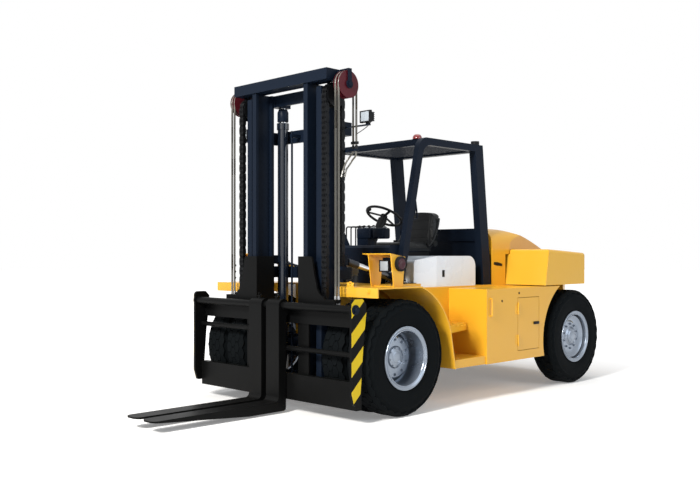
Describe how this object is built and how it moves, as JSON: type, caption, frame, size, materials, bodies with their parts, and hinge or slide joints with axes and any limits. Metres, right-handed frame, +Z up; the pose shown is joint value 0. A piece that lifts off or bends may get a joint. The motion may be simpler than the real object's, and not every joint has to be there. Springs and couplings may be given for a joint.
{
  "type": "counterbalance forklift",
  "caption": "Counterbalance forklift with a two-stage mast, sliding forks, dual front wheels, steered rear wheels and an open cab under a guard.",
  "frame": {"origin": "centre of the bounding box's base, on the ground", "axes": "+X to the truck's left, -Y forward along the forks, +Z up"},
  "size_m": [2.276, 5.41, 3.02],
  "materials": {
    "yellow_paint": "gloss",
    "dark_paint": "satin",
    "pale_paint": "gloss",
    "tyre_rubber": "matte",
    "rim_paint": "satin",
    "chrome_rod": "polished",
    "oiled_steel": "oiled",
    "hose_rubber": "satin",
    "red_paint": "satin",
    "black_plastic": "matte",
    "seat_cover": "satin",
    "lamp_lens": "gloss",
    "engine_iron": "matte"
  },
  "bodies": {
    "chassis": {"main_frame": "yellow_paint", "front_fenders": "yellow_paint", "floor_plate": "yellow_paint", "main_deck": "yellow_paint", "steps": "yellow_paint", "right_side_box": "yellow_paint", "left_side_box": "yellow_paint", "engine_side_panels": "yellow_paint", "counterweight": "yellow_paint", "lamp_brackets": "yellow_paint", "overhead_guard": "dark_paint", "roof_slats": "dark_paint", "rear_panel": "dark_paint", "drive_axle": "dark_paint", "steer_axle": "dark_paint", "cowl": "dark_paint", "grab_handles": "dark_paint", "seat_hood": "pale_paint", "steering_column": "black_plastic", "control_levers": "black_plastic", "seat_base": "black_plastic", "roof_lamp": "black_plastic", "front_lamps": "black_plastic", "seat_cushion": "seat_cover", "seat_back": "seat_cover", "roof_beacon": "lamp_lens", "engine_block": "engine_iron"},
    "left_front_wheel": {"left_front_tyres": "tyre_rubber", "left_front_rims": "rim_paint"},
    "right_front_wheel": {"right_front_tyres": "tyre_rubber", "right_front_rims": "rim_paint"},
    "left_knuckle": {"left_knuckle": "dark_paint"},
    "right_knuckle": {"right_knuckle": "dark_paint"},
    "left_rear_wheel": {"left_rear_tyre": "tyre_rubber", "left_rear_rim": "rim_paint"},
    "right_rear_wheel": {"right_rear_tyre": "tyre_rubber", "right_rear_rim": "rim_paint"},
    "steering_wheel": {"steering_wheel": "black_plastic"},
    "mast": {"mast_outer": "dark_paint", "lift_barrels": "dark_paint", "mast_lamps": "black_plastic", "chain_rear_runs": "oiled_steel", "hose_rear_runs": "hose_rubber"},
    "inner_mast": {"mast_inner": "dark_paint", "lift_rods": "chrome_rod", "mast_rollers": "oiled_steel", "chain_sheaves": "oiled_steel", "hose_pulleys": "red_paint", "chain_bends": "oiled_steel", "hose_bends": "hose_rubber", "chain_front_runs": "oiled_steel", "hose_front_runs": "hose_rubber"},
    "carriage": {"carriage_frame": "dark_paint", "carriage_shafts": "dark_paint"},
    "left_fork": {"left_fork": "dark_paint"},
    "right_fork": {"right_fork": "dark_paint"},
    "tilt_barrels": {"tilt_barrels": "dark_paint"},
    "tilt_rods": {"tilt_rods": "chrome_rod"},
    "engine_hood": {"engine_hood": "yellow_paint"},
    "side_door": {"left_side_door": "yellow_paint"}
  },
  "joints": [
    {"name": "left_front_spin", "type": "hinge", "parent": "chassis", "child": "left_front_wheel", "pos_m": [0.9855, -0.745, 0.509], "axis": [1, 0, 0], "continuous": true},
    {"name": "right_front_spin", "type": "hinge", "parent": "chassis", "child": "right_front_wheel", "pos_m": [-0.9855, -0.745, 0.509], "axis": [1, 0, 0], "continuous": true},
    {"name": "steer_left", "type": "hinge", "parent": "chassis", "child": "left_knuckle", "pos_m": [0.8655, 2.055, 0.509], "axis": [0, 0, 1], "range_deg": [-60, 60]},
    {"name": "steer_right", "type": "hinge", "parent": "chassis", "child": "right_knuckle", "pos_m": [-0.8655, 2.055, 0.509], "axis": [0, 0, 1], "range_deg": [-60, 60]},
    {"name": "left_rear_spin", "type": "hinge", "parent": "left_knuckle", "child": "left_rear_wheel", "pos_m": [0.9855, 2.055, 0.509], "axis": [1, 0, 0], "continuous": true},
    {"name": "right_rear_spin", "type": "hinge", "parent": "right_knuckle", "child": "right_rear_wheel", "pos_m": [-0.9855, 2.055, 0.509], "axis": [1, 0, 0], "continuous": true},
    {"name": "steering_turn", "type": "hinge", "parent": "chassis", "child": "steering_wheel", "pos_m": [0, 0.174, 1.8], "axis": [0, 0.5, 0.866], "continuous": true},
    {"name": "mast_tilt", "type": "hinge", "parent": "chassis", "child": "mast", "pos_m": [0, -0.745, 0.509], "axis": [1, 0, 0], "range_deg": [-8, 6]},
    {"name": "tilt_barrel_swing", "type": "hinge", "parent": "chassis", "child": "tilt_barrels", "pos_m": [0, -0.19098, 1.17798], "axis": [1, 0, 0], "range_deg": [-6, 5]},
    {"name": "tilt_rod_slide", "type": "slide", "parent": "tilt_barrels", "child": "tilt_rods", "axis": [0, -0.9703, 0.2419], "range_m": [-0.15, 0.12]},
    {"name": "mast_lift", "type": "slide", "parent": "mast", "child": "inner_mast", "axis": [0, 0, 1], "range_m": [0, 1.5], "deforming": ["chain_rear_runs", "hose_rear_runs"]},
    {"name": "carriage_lift", "type": "slide", "parent": "inner_mast", "child": "carriage", "axis": [0, 0, 1], "range_m": [0, 1.5], "deforming": ["chain_front_runs", "hose_front_runs"]},
    {"name": "left_fork_shift", "type": "slide", "parent": "carriage", "child": "left_fork", "axis": [1, 0, 0], "range_m": [0, 0.83]},
    {"name": "right_fork_shift", "type": "slide", "parent": "carriage", "child": "right_fork", "axis": [-1, 0, 0], "range_m": [0, 0.83]},
    {"name": "hood_open", "type": "hinge", "parent": "chassis", "child": "engine_hood", "pos_m": [0, 2.432, 1.4243], "axis": [-1, 0, 0], "range_deg": [0, 50]},
    {"name": "side_door_open", "type": "hinge", "parent": "chassis", "child": "side_door", "pos_m": [1.1174, 0.95, 0.7], "axis": [0, 0, -1], "range_deg": [0, 110]}
  ],
  "couplings": [
    {"joint": "steer_right", "follows": "steer_left", "ratio": 1},
    {"joint": "tilt_barrel_swing", "follows": "mast_tilt", "ratio": 0.495},
    {"joint": "tilt_rod_slide", "follows": "mast_tilt", "m_per_rad": 0.786},
    {"joint": "carriage_lift", "follows": "mast_lift", "ratio": 1}
  ]
}
